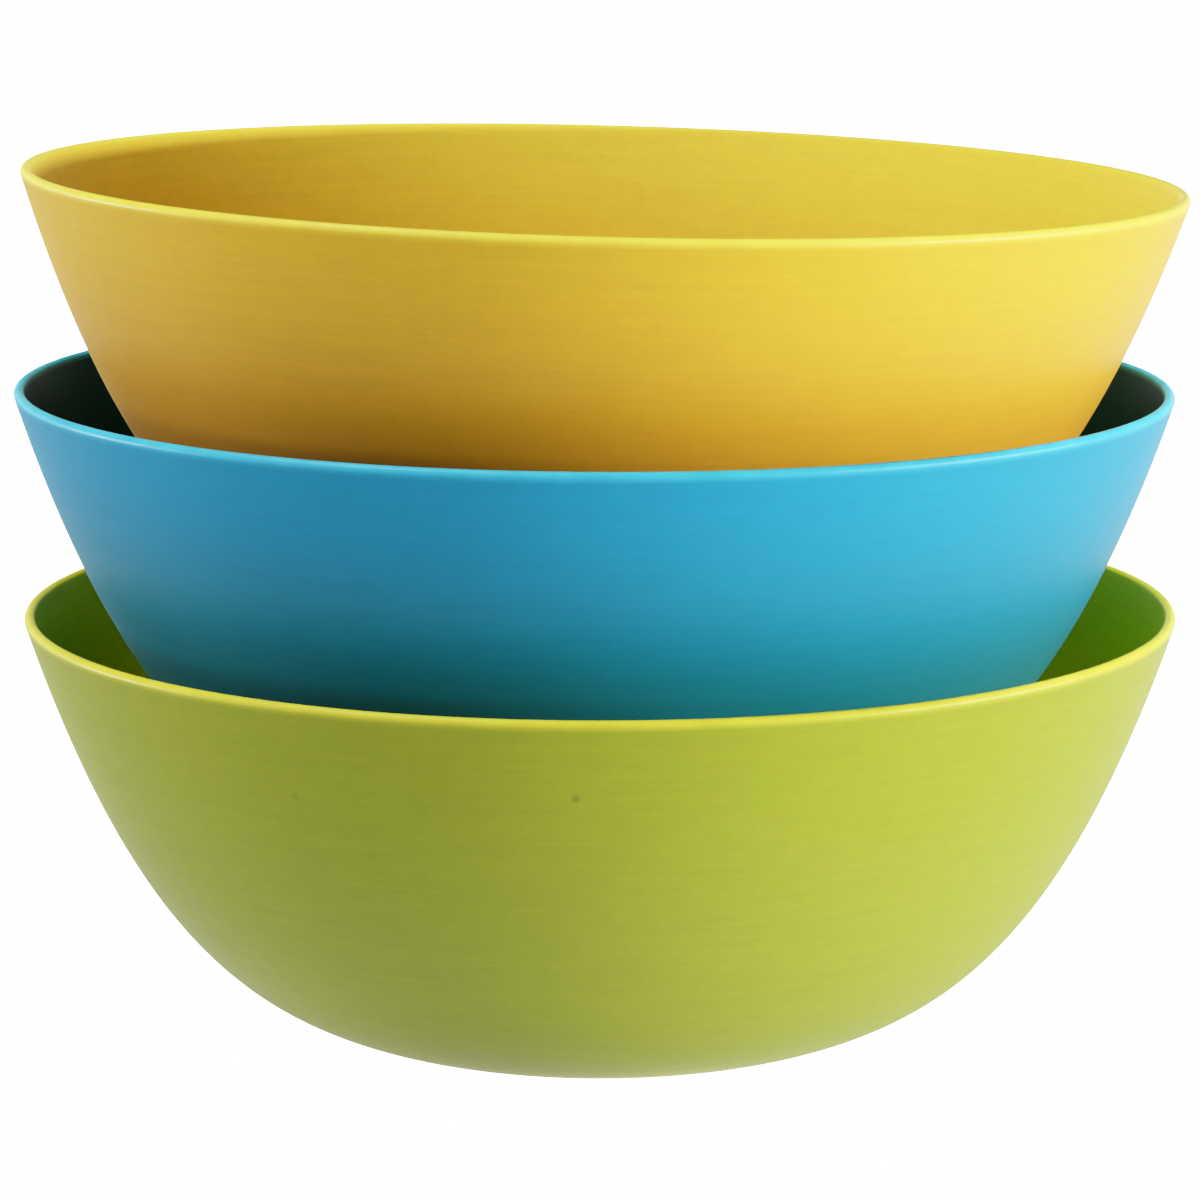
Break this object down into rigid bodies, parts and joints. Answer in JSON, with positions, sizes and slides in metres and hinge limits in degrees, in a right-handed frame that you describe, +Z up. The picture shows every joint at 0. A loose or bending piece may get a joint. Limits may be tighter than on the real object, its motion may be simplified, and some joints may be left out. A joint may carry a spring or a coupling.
{
  "type": "stack of hair color bowls",
  "caption": "Round plastic bowls for mixing hair color, one shape in different colors, standing one inside the other; the upper bowls lift off or sink further into the one below.",
  "frame": {"origin": "middle of the flat base under the bottom bowl", "axes": "+Z up along the bottom bowl's axis, -Y towards the front, +X to the viewer's right"},
  "size_m": [0.1514, 0.15, 0.1132],
  "materials": {
    "green_plastic": "satin, olive lime",
    "blue_plastic": "satin, sky blue",
    "yellow_plastic": "satin, warm yellow"
  },
  "bodies": {
    "green": {"green_bowl": "green_plastic"},
    "blue": {"blue_bowl": "blue_plastic"},
    "yellow": {"yellow_bowl": "yellow_plastic"}
  },
  "joints": [
    {"name": "blue_lift", "type": "slide", "parent": "green", "child": "blue", "axis": [0, 0, 1], "range_m": [-0.022, 0.06]},
    {"name": "yellow_lift", "type": "slide", "parent": "blue", "child": "yellow", "axis": [0, 0, 1], "range_m": [-0.0165, 0.06]}
  ]
}
